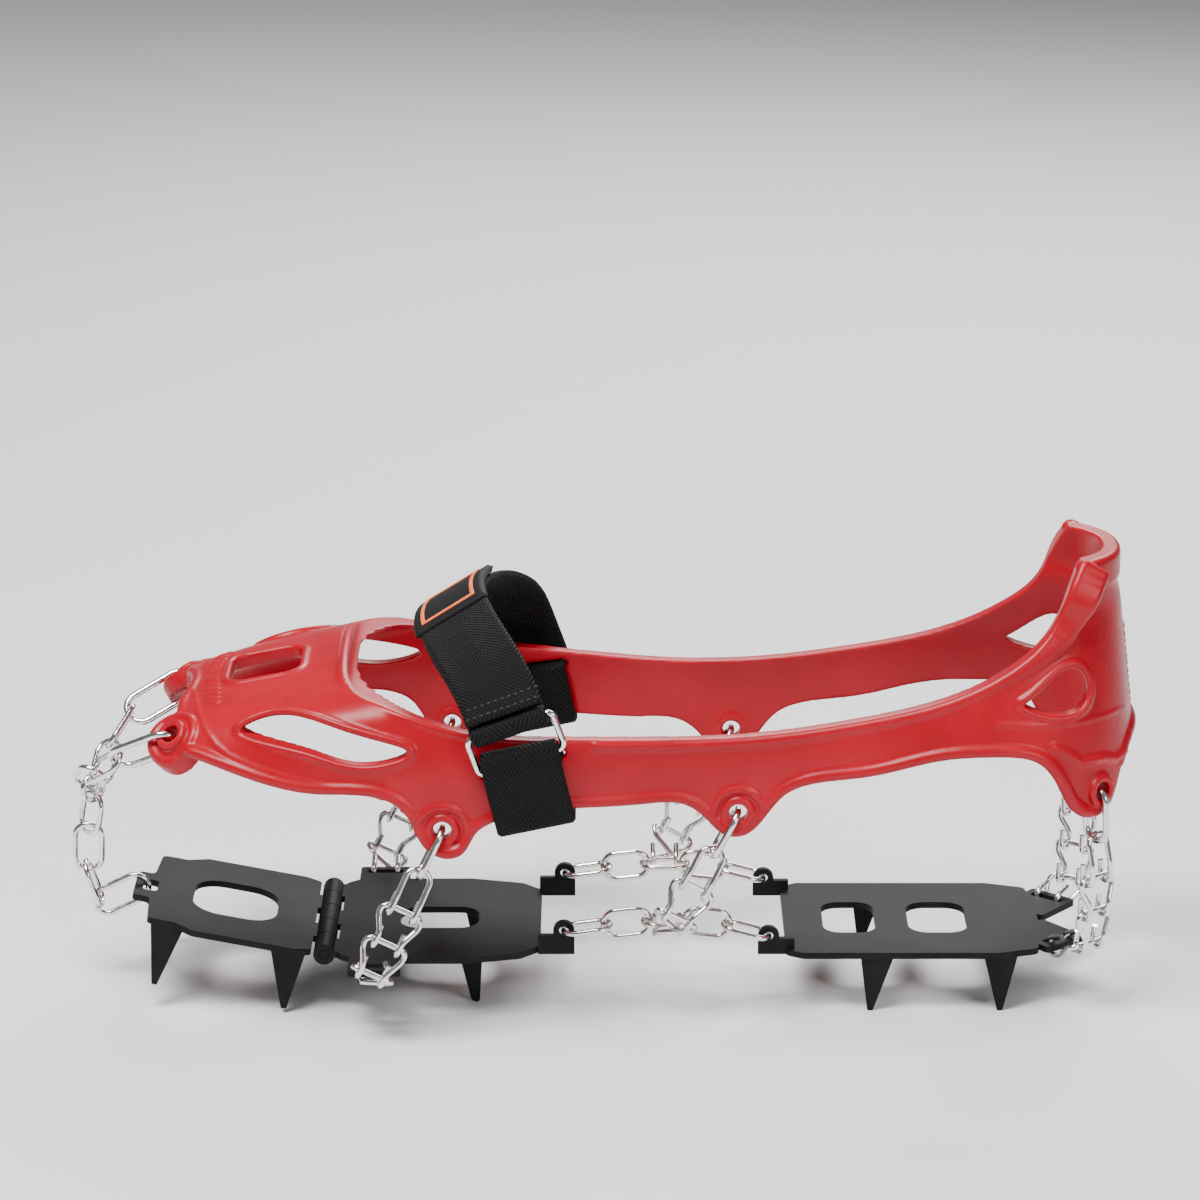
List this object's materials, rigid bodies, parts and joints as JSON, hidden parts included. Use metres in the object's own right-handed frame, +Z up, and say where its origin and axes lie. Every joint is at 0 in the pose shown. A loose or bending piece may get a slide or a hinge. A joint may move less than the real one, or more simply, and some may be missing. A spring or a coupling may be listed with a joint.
{
  "type": "shoe ice cleats",
  "caption": "Pull-on shoe ice cleats: moulded rubber harness carried by chains over spiked steel sole plates, with a hook-and-loop instep strap.",
  "frame": {"origin": "middle of the outline in plan, on the plane of the spike tips", "axes": "toe towards -X, heel towards +X, +Z up, the strap's ring on the -Y side"},
  "size_m": [0.3214, 0.1148, 0.139],
  "materials": {
    "harness_rubber": "satin",
    "chain_steel": "polished",
    "plate_steel": "semi-gloss powder coat",
    "webbing": "woven herringbone",
    "label_patch": "matt with an orange outline"
  },
  "bodies": {
    "frame": {"harness": "harness_rubber", "toe_stem_1": "chain_steel", "mid_spike_plate": "plate_steel", "heel_spike_plate": "plate_steel", "hinge_pin": "plate_steel", "strap": "webbing", "strap_label": "label_patch", "strap_ring_loop": "webbing", "strap_anchor_loop": "webbing"},
    "ball_ring_left": {"ball_ring_left": "chain_steel"},
    "ball_u_link_left": {"ball_u_link_left": "chain_steel"},
    "ball_ladder_1_left": {"ball_ladder_1_left": "chain_steel"},
    "ball_ladder_2_left": {"ball_ladder_2_left": "chain_steel"},
    "ball_ladder_3_left": {"ball_ladder_3_left": "chain_steel"},
    "ball_ring_right": {"ball_ring_right": "chain_steel"},
    "ball_u_link_right": {"ball_u_link_right": "chain_steel"},
    "ball_ladder_1_right": {"ball_ladder_1_right": "chain_steel"},
    "ball_ladder_2_right": {"ball_ladder_2_right": "chain_steel"},
    "ball_ladder_3_right": {"ball_ladder_3_right": "chain_steel"},
    "arch_ring_left": {"arch_ring_left": "chain_steel"},
    "arch_u_link_left": {"arch_u_link_left": "chain_steel"},
    "arch_ladder_1_left": {"arch_ladder_1_left": "chain_steel"},
    "arch_ladder_2_left": {"arch_ladder_2_left": "chain_steel"},
    "arch_ring_right": {"arch_ring_right": "chain_steel"},
    "arch_u_link_right": {"arch_u_link_right": "chain_steel"},
    "arch_ladder_1_right": {"arch_ladder_1_right": "chain_steel"},
    "arch_ladder_2_right": {"arch_ladder_2_right": "chain_steel"},
    "heel_ring_left": {"heel_ring_left": "chain_steel"},
    "heel_u_link_left": {"heel_u_link_left": "chain_steel"},
    "heel_ladder_1_left": {"heel_ladder_1_left": "chain_steel"},
    "heel_ladder_2_left": {"heel_ladder_2_left": "chain_steel"},
    "heel_ladder_3_left": {"heel_ladder_3_left": "chain_steel"},
    "heel_ring_right": {"heel_ring_right": "chain_steel"},
    "heel_u_link_right": {"heel_u_link_right": "chain_steel"},
    "heel_ladder_1_right": {"heel_ladder_1_right": "chain_steel"},
    "heel_ladder_2_right": {"heel_ladder_2_right": "chain_steel"},
    "heel_ladder_3_right": {"heel_ladder_3_right": "chain_steel"},
    "arch_chain_1_left": {"arch_chain_1_left": "chain_steel"},
    "arch_chain_2_left": {"arch_chain_2_left": "chain_steel"},
    "arch_chain_3_left": {"arch_chain_3_left": "chain_steel"},
    "arch_chain_4_left": {"arch_chain_4_left": "chain_steel"},
    "arch_chain_5_left": {"arch_chain_5_left": "chain_steel"},
    "arch_chain_1_right": {"arch_chain_1_right": "chain_steel"},
    "arch_chain_2_right": {"arch_chain_2_right": "chain_steel"},
    "arch_chain_3_right": {"arch_chain_3_right": "chain_steel"},
    "arch_chain_4_right": {"arch_chain_4_right": "chain_steel"},
    "arch_chain_5_right": {"arch_chain_5_right": "chain_steel"},
    "toe_ring_left": {"toe_ring_left": "chain_steel"},
    "toe_arm_1_left": {"toe_arm_1_left": "chain_steel"},
    "toe_arm_2_left": {"toe_arm_2_left": "chain_steel"},
    "toe_ring_right": {"toe_ring_right": "chain_steel"},
    "toe_arm_1_right": {"toe_arm_1_right": "chain_steel"},
    "toe_arm_2_right": {"toe_arm_2_right": "chain_steel"},
    "front_plate": {"front_spike_plate": "plate_steel"},
    "toe_stem_5": {"toe_stem_5": "chain_steel"},
    "toe_stem_4": {"toe_stem_4": "chain_steel"},
    "toe_stem_3": {"toe_stem_3": "chain_steel"},
    "toe_stem_2": {"toe_stem_2": "chain_steel"},
    "strap_flap": {"strap_flap": "webbing"},
    "strap_ring": {"strap_ring": "chain_steel"}
  },
  "joints": [
    {"name": "ball_ring_left_hinge", "type": "hinge", "parent": "frame", "child": "ball_ring_left", "pos_m": [-0.04624, 0.04918, 0.06575], "axis": [0.9023, 0, -0.4311], "range_deg": [-0.72, 0.72]},
    {"name": "ball_u_link_left_hinge", "type": "hinge", "parent": "ball_ring_left", "child": "ball_u_link_left", "pos_m": [-0.0522, 0.05106, 0.05328], "axis": [0.9023, 0, -0.4311], "range_deg": [-3, 3]},
    {"name": "ball_ladder_1_left_hinge", "type": "hinge", "parent": "ball_u_link_left", "child": "ball_ladder_1_left", "pos_m": [-0.05792, 0.05364, 0.04132], "axis": [0.9023, 0, -0.4311], "range_deg": [-4.3, 4.3]},
    {"name": "ball_ladder_2_left_hinge", "type": "hinge", "parent": "ball_ladder_1_left", "child": "ball_ladder_2_left", "pos_m": [-0.06264, 0.0546, 0.03143], "axis": [0.9023, 0, -0.4311], "range_deg": [-0.95, 0.95]},
    {"name": "ball_ladder_3_left_hinge", "type": "hinge", "parent": "ball_ladder_2_left", "child": "ball_ladder_3_left", "pos_m": [-0.06738, 0.05402, 0.02152], "axis": [0.9023, 0, -0.4311], "range_deg": [-2.75, 2.75]},
    {"name": "ball_ring_right_hinge", "type": "hinge", "parent": "frame", "child": "ball_ring_right", "pos_m": [-0.04624, -0.04918, 0.06575], "axis": [-0.9023, 0, 0.4311], "range_deg": [-0.72, 0.72]},
    {"name": "ball_u_link_right_hinge", "type": "hinge", "parent": "ball_ring_right", "child": "ball_u_link_right", "pos_m": [-0.0522, -0.05106, 0.05328], "axis": [-0.9023, 0, 0.4311], "range_deg": [-3, 3]},
    {"name": "ball_ladder_1_right_hinge", "type": "hinge", "parent": "ball_u_link_right", "child": "ball_ladder_1_right", "pos_m": [-0.05792, -0.05364, 0.04132], "axis": [-0.9023, 0, 0.4311], "range_deg": [-4.3, 4.3]},
    {"name": "ball_ladder_2_right_hinge", "type": "hinge", "parent": "ball_ladder_1_right", "child": "ball_ladder_2_right", "pos_m": [-0.06264, -0.0546, 0.03143], "axis": [-0.9023, 0, 0.4311], "range_deg": [-0.95, 0.95]},
    {"name": "ball_ladder_3_right_hinge", "type": "hinge", "parent": "ball_ladder_2_right", "child": "ball_ladder_3_right", "pos_m": [-0.06738, -0.05402, 0.02152], "axis": [-0.9023, 0, 0.4311], "range_deg": [-2.75, 2.75]},
    {"name": "arch_ring_left_hinge", "type": "hinge", "parent": "frame", "child": "arch_ring_left", "pos_m": [0.04079, 0.03819, 0.0673], "axis": [0.8879, 0, -0.46], "range_deg": [-0.94, 0.94]},
    {"name": "arch_u_link_left_hinge", "type": "hinge", "parent": "arch_ring_left", "child": "arch_u_link_left", "pos_m": [0.03438, 0.03767, 0.05492], "axis": [0.8879, 0, -0.46], "range_deg": [-3, 3]},
    {"name": "arch_ladder_1_left_hinge", "type": "hinge", "parent": "arch_u_link_left", "child": "arch_ladder_1_left", "pos_m": [0.02817, 0.03767, 0.04293], "axis": [0.8879, 0, -0.46], "range_deg": [-5.18, 5.18]},
    {"name": "arch_ladder_2_left_hinge", "type": "hinge", "parent": "arch_ladder_1_left", "child": "arch_ladder_2_left", "pos_m": [0.02311, 0.03786, 0.03317], "axis": [0.8879, 0, -0.46], "range_deg": [-2.7, 2.7]},
    {"name": "arch_ring_right_hinge", "type": "hinge", "parent": "frame", "child": "arch_ring_right", "pos_m": [0.04079, -0.03819, 0.0673], "axis": [-0.8879, 0, 0.46], "range_deg": [-0.94, 0.94]},
    {"name": "arch_u_link_right_hinge", "type": "hinge", "parent": "arch_ring_right", "child": "arch_u_link_right", "pos_m": [0.03438, -0.03767, 0.05492], "axis": [-0.8879, 0, 0.46], "range_deg": [-3, 3]},
    {"name": "arch_ladder_1_right_hinge", "type": "hinge", "parent": "arch_u_link_right", "child": "arch_ladder_1_right", "pos_m": [0.02817, -0.03767, 0.04293], "axis": [-0.8879, 0, 0.46], "range_deg": [-5.18, 5.18]},
    {"name": "arch_ladder_2_right_hinge", "type": "hinge", "parent": "arch_ladder_1_right", "child": "arch_ladder_2_right", "pos_m": [0.02311, -0.03786, 0.03317], "axis": [-0.8879, 0, 0.46], "range_deg": [-2.7, 2.7]},
    {"name": "heel_ring_left_hinge", "type": "hinge", "parent": "frame", "child": "heel_ring_left", "pos_m": [0.14731, 0.02833, 0.07072], "axis": [0.7754, -0.6315, 0], "range_deg": [-0.73, 0.73]},
    {"name": "heel_u_link_left_hinge", "type": "hinge", "parent": "heel_ring_left", "child": "heel_u_link_left", "pos_m": [0.14794, 0.0291, 0.05681], "axis": [0.7754, -0.6315, 0], "range_deg": [-3, 3]},
    {"name": "heel_ladder_1_left_hinge", "type": "hinge", "parent": "heel_u_link_left", "child": "heel_ladder_1_left", "pos_m": [0.14839, 0.02964, 0.04333], "axis": [0.7754, -0.6315, 0], "range_deg": [-4.3, 4.3]},
    {"name": "heel_ladder_2_left_hinge", "type": "hinge", "parent": "heel_ladder_1_left", "child": "heel_ladder_2_left", "pos_m": [0.14802, 0.0292, 0.03234], "axis": [0.7754, -0.6315, 0], "range_deg": [-0.99, 0.99]},
    {"name": "heel_ladder_3_left_hinge", "type": "hinge", "parent": "heel_ladder_2_left", "child": "heel_ladder_3_left", "pos_m": [0.14694, 0.02786, 0.02148], "axis": [0.7754, -0.6315, 0], "range_deg": [-2.72, 2.72]},
    {"name": "heel_ring_right_hinge", "type": "hinge", "parent": "frame", "child": "heel_ring_right", "pos_m": [0.14731, -0.02833, 0.07072], "axis": [-0.7754, -0.6315, 0], "range_deg": [-0.73, 0.73]},
    {"name": "heel_u_link_right_hinge", "type": "hinge", "parent": "heel_ring_right", "child": "heel_u_link_right", "pos_m": [0.14794, -0.0291, 0.05681], "axis": [-0.7754, -0.6315, 0], "range_deg": [-3, 3]},
    {"name": "heel_ladder_1_right_hinge", "type": "hinge", "parent": "heel_u_link_right", "child": "heel_ladder_1_right", "pos_m": [0.14839, -0.02964, 0.04333], "axis": [-0.7754, -0.6315, 0], "range_deg": [-4.3, 4.3]},
    {"name": "heel_ladder_2_right_hinge", "type": "hinge", "parent": "heel_ladder_1_right", "child": "heel_ladder_2_right", "pos_m": [0.14802, -0.0292, 0.03234], "axis": [-0.7754, -0.6315, 0], "range_deg": [-0.99, 0.99]},
    {"name": "heel_ladder_3_right_hinge", "type": "hinge", "parent": "heel_ladder_2_right", "child": "heel_ladder_3_right", "pos_m": [0.14694, -0.02786, 0.02148], "axis": [-0.7754, -0.6315, 0], "range_deg": [-2.72, 2.72]},
    {"name": "arch_chain_1_left_twist", "type": "hinge", "parent": "frame", "child": "arch_chain_1_left", "pos_m": [-0.0044, 0.025, 0.02517], "axis": [0.9911, 0, 0.1329], "range_deg": [-4, 4]},
    {"name": "arch_chain_2_left_twist", "type": "hinge", "parent": "frame", "child": "arch_chain_2_left", "pos_m": [0.00808, 0.025, 0.02667], "axis": [0.9945, 0, 0.1045], "range_deg": [-2.7, 2.7]},
    {"name": "arch_chain_3_left_twist", "type": "hinge", "parent": "frame", "child": "arch_chain_3_left", "pos_m": [0.0201, 0.025, 0.0273], "axis": [1, 0, 0], "range_deg": [-1.5, 1.5]},
    {"name": "arch_chain_4_left_twist", "type": "hinge", "parent": "frame", "child": "arch_chain_4_left", "pos_m": [0.03212, 0.025, 0.02667], "axis": [0.9945, 0, -0.1045], "range_deg": [-2.7, 2.7]},
    {"name": "arch_chain_5_left_twist", "type": "hinge", "parent": "frame", "child": "arch_chain_5_left", "pos_m": [0.04443, 0.025, 0.02432], "axis": [0.9649, 0, -0.2626], "range_deg": [-4.3, 4.3]},
    {"name": "arch_chain_1_right_twist", "type": "hinge", "parent": "frame", "child": "arch_chain_1_right", "pos_m": [-0.0044, -0.025, 0.02517], "axis": [0.9911, 0, 0.1329], "range_deg": [-4, 4]},
    {"name": "arch_chain_2_right_twist", "type": "hinge", "parent": "frame", "child": "arch_chain_2_right", "pos_m": [0.00808, -0.025, 0.02667], "axis": [0.9945, 0, 0.1045], "range_deg": [-2.7, 2.7]},
    {"name": "arch_chain_3_right_twist", "type": "hinge", "parent": "frame", "child": "arch_chain_3_right", "pos_m": [0.0201, -0.025, 0.0273], "axis": [1, 0, 0], "range_deg": [-1.5, 1.5]},
    {"name": "arch_chain_4_right_twist", "type": "hinge", "parent": "frame", "child": "arch_chain_4_right", "pos_m": [0.03212, -0.025, 0.02667], "axis": [0.9945, 0, -0.1045], "range_deg": [-2.7, 2.7]},
    {"name": "arch_chain_5_right_twist", "type": "hinge", "parent": "frame", "child": "arch_chain_5_right", "pos_m": [0.04443, -0.025, 0.02432], "axis": [0.9649, 0, -0.2626], "range_deg": [-4.3, 4.3]},
    {"name": "toe_ring_left_twist", "type": "hinge", "parent": "frame", "child": "toe_ring_left", "pos_m": [-0.1353, 0.02532, 0.08175], "axis": [-0.8414, -0.3333, -0.4255], "range_deg": [-1.9, 1.9]},
    {"name": "toe_arm_1_left_twist", "type": "hinge", "parent": "frame", "child": "toe_arm_1_left", "pos_m": [-0.1474, 0.01678, 0.07348], "axis": [-0.4123, -0.7361, -0.5367], "range_deg": [-4, 4]},
    {"name": "toe_arm_2_left_twist", "type": "hinge", "parent": "frame", "child": "toe_arm_2_left", "pos_m": [-0.15092, 0.00711, 0.0666], "axis": [-0.1375, -0.8137, -0.5648], "range_deg": [-2.7, 2.7]},
    {"name": "toe_ring_right_twist", "type": "hinge", "parent": "frame", "child": "toe_ring_right", "pos_m": [-0.1353, -0.02532, 0.08175], "axis": [-0.8414, 0.3333, -0.4255], "range_deg": [-1.9, 1.9]},
    {"name": "toe_arm_1_right_twist", "type": "hinge", "parent": "frame", "child": "toe_arm_1_right", "pos_m": [-0.14862, -0.01678, 0.07348], "axis": [-0.5491, 0.6753, -0.4924], "range_deg": [-4, 4]},
    {"name": "toe_arm_2_right_twist", "type": "hinge", "parent": "frame", "child": "toe_arm_2_right", "pos_m": [-0.1544, -0.00711, 0.0666], "axis": [-0.3004, 0.7836, -0.5439], "range_deg": [-2.7, 2.7]},
    {"name": "toe_plate_hinge", "type": "hinge", "parent": "frame", "child": "front_plate", "pos_m": [-0.083, 0, 0.018], "axis": [0, 1, 0], "range_deg": [0, 3.4]},
    {"name": "toe_stem_5_hinge", "type": "hinge", "parent": "front_plate", "child": "toe_stem_5", "pos_m": [-0.14092, 0, 0.02926], "axis": [0, 1, 0], "range_deg": [-11.02, 0.5]},
    {"name": "toe_stem_4_hinge", "type": "hinge", "parent": "toe_stem_5", "child": "toe_stem_4", "pos_m": [-0.1524, 0, 0.0237], "axis": [0, 1, 0], "range_deg": [-1.41, 0.5]},
    {"name": "toe_stem_3_hinge", "type": "hinge", "parent": "toe_stem_4", "child": "toe_stem_3", "pos_m": [-0.1562, 0, 0.0347], "axis": [0, 1, 0], "range_deg": [-0.5, 3.16]},
    {"name": "toe_stem_2_hinge", "type": "hinge", "parent": "toe_stem_3", "child": "toe_stem_2", "pos_m": [-0.1558, 0, 0.0465], "axis": [0, 1, 0], "range_deg": [-0.5, 10.42]},
    {"name": "strap_flap_peel", "type": "hinge", "parent": "frame", "child": "strap_flap", "pos_m": [-0.02647, -0.0542, 0.0989], "axis": [0.9397, 0, 0.342], "range_deg": [0, 90]},
    {"name": "strap_ring_swing", "type": "hinge", "parent": "frame", "child": "strap_ring", "pos_m": [-0.02647, -0.0542, 0.0989], "axis": [0.9397, 0, 0.342], "range_deg": [-1.5, 1.5]}
  ],
  "couplings": [
    {"joint": "ball_ring_left_hinge", "follows": "ball_u_link_left_hinge", "ratio": -0.10687},
    {"joint": "ball_ladder_1_left_hinge", "follows": "ball_u_link_left_hinge", "ratio": -1.3012},
    {"joint": "ball_ladder_2_left_hinge", "follows": "ball_u_link_left_hinge", "ratio": -0.18317},
    {"joint": "ball_ladder_3_left_hinge", "follows": "ball_u_link_left_hinge", "ratio": 0.78267},
    {"joint": "ball_ring_right_hinge", "follows": "ball_u_link_right_hinge", "ratio": -0.10687},
    {"joint": "ball_ladder_1_right_hinge", "follows": "ball_u_link_right_hinge", "ratio": -1.3012},
    {"joint": "ball_ladder_2_right_hinge", "follows": "ball_u_link_right_hinge", "ratio": -0.18317},
    {"joint": "ball_ladder_3_right_hinge", "follows": "ball_u_link_right_hinge", "ratio": 0.78267},
    {"joint": "arch_ring_left_hinge", "follows": "arch_u_link_left_hinge", "ratio": -0.18079},
    {"joint": "arch_ladder_1_left_hinge", "follows": "arch_u_link_left_hinge", "ratio": -1.592},
    {"joint": "arch_ladder_2_left_hinge", "follows": "arch_u_link_left_hinge", "ratio": 0.76667},
    {"joint": "arch_ring_right_hinge", "follows": "arch_u_link_right_hinge", "ratio": -0.18079},
    {"joint": "arch_ladder_1_right_hinge", "follows": "arch_u_link_right_hinge", "ratio": -1.592},
    {"joint": "arch_ladder_2_right_hinge", "follows": "arch_u_link_right_hinge", "ratio": 0.76667},
    {"joint": "heel_ring_left_hinge", "follows": "heel_u_link_left_hinge", "ratio": -0.10964},
    {"joint": "heel_ladder_1_left_hinge", "follows": "heel_u_link_left_hinge", "ratio": -1.2993},
    {"joint": "heel_ladder_2_left_hinge", "follows": "heel_u_link_left_hinge", "ratio": -0.19585},
    {"joint": "heel_ladder_3_left_hinge", "follows": "heel_u_link_left_hinge", "ratio": 0.77262},
    {"joint": "heel_ring_right_hinge", "follows": "heel_u_link_right_hinge", "ratio": -0.10964},
    {"joint": "heel_ladder_1_right_hinge", "follows": "heel_u_link_right_hinge", "ratio": -1.2993},
    {"joint": "heel_ladder_2_right_hinge", "follows": "heel_u_link_right_hinge", "ratio": -0.19585},
    {"joint": "heel_ladder_3_right_hinge", "follows": "heel_u_link_right_hinge", "ratio": 0.77262},
    {"joint": "arch_chain_2_left_twist", "follows": "arch_chain_1_left_twist", "ratio": -0.6},
    {"joint": "arch_chain_3_left_twist", "follows": "arch_chain_1_left_twist", "ratio": 0.3},
    {"joint": "arch_chain_4_left_twist", "follows": "arch_chain_1_left_twist", "ratio": -0.6},
    {"joint": "arch_chain_5_left_twist", "follows": "arch_chain_1_left_twist", "ratio": 1},
    {"joint": "arch_chain_2_right_twist", "follows": "arch_chain_1_right_twist", "ratio": -0.6},
    {"joint": "arch_chain_3_right_twist", "follows": "arch_chain_1_right_twist", "ratio": 0.3},
    {"joint": "arch_chain_4_right_twist", "follows": "arch_chain_1_right_twist", "ratio": -0.6},
    {"joint": "arch_chain_5_right_twist", "follows": "arch_chain_1_right_twist", "ratio": 1},
    {"joint": "toe_ring_left_twist", "follows": "toe_arm_1_left_twist", "ratio": 0.4},
    {"joint": "toe_arm_2_left_twist", "follows": "toe_arm_1_left_twist", "ratio": -0.6},
    {"joint": "toe_ring_right_twist", "follows": "toe_arm_1_right_twist", "ratio": 0.4},
    {"joint": "toe_arm_2_right_twist", "follows": "toe_arm_1_right_twist", "ratio": -0.6},
    {"joint": "toe_stem_5_hinge", "follows": "toe_plate_hinge", "ratio": -3.0948},
    {"joint": "toe_stem_4_hinge", "follows": "toe_plate_hinge", "ratio": -0.26637},
    {"joint": "toe_stem_3_hinge", "follows": "toe_plate_hinge", "ratio": 0.78254},
    {"joint": "toe_stem_2_hinge", "follows": "toe_plate_hinge", "ratio": 2.9183}
  ]
}
